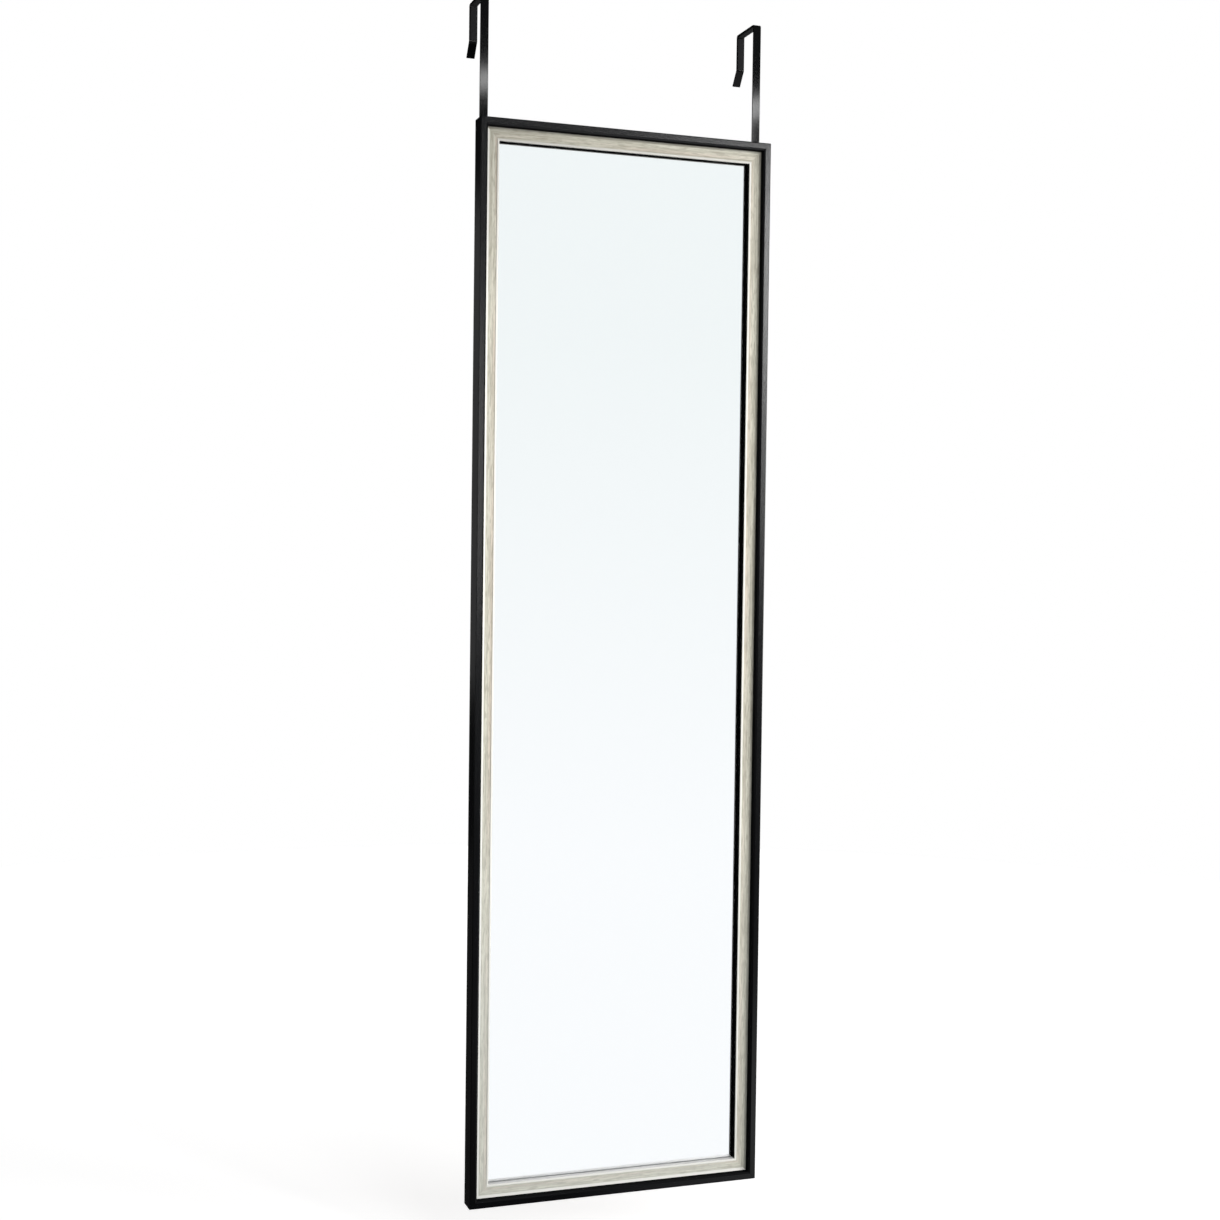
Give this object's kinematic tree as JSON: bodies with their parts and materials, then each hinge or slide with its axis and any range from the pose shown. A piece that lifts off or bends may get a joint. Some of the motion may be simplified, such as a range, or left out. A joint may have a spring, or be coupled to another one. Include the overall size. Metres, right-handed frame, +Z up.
{
  "type": "over the door mirror",
  "caption": "Tall framed mirror with a black border and pale wood-grain inlay, hung by flat black steel hooks that go over the top of a door.",
  "frame": {"origin": "midway between the two hooks, where the top of the door meets its front face: Z = 0 is the top of the door and Y = 0 is its front face", "axes": "+Z up, -Y out of the front of the mirror, +Y into the door, +X to the right as seen from the front"},
  "size_m": [0.368, 0.0897, 1.433],
  "materials": {
    "frame_black": "satin black moulding",
    "washed_oak": "pale grey-beige wood-grain foil, cream along its bead and rim",
    "mirror": "silvered float glass",
    "card": "brown card",
    "hardboard": "brown hardboard, smooth side out",
    "zinc_steel": "plain zinc-plated steel",
    "hook_black": "gloss black powder coat on flat steel",
    "screw_black": "black countersunk screw",
    "foam_black": "self-adhesive charcoal foam"
  },
  "bodies": {
    "root": {"frame_top_rail": "frame_black", "frame_bottom_rail": "frame_black", "frame_left_stile": "frame_black", "frame_right_stile": "frame_black", "inlay_top": "washed_oak", "inlay_bottom": "washed_oak", "inlay_left": "washed_oak", "inlay_right": "washed_oak", "mirror_glass": "mirror", "card_spacer": "card", "backing_board": "hardboard", "corner_v_nails": "zinc_steel", "retaining_points": "zinc_steel", "hook_left": "hook_black", "hook_screws_left": "screw_black", "bridge_pad_left": "foam_black", "leg_pad_left": "foam_black", "bumper_left": "foam_black", "hook_right": "hook_black", "hook_screws_right": "screw_black", "bridge_pad_right": "foam_black", "leg_pad_right": "foam_black", "bumper_right": "foam_black"}
  },
  "joints": []
}
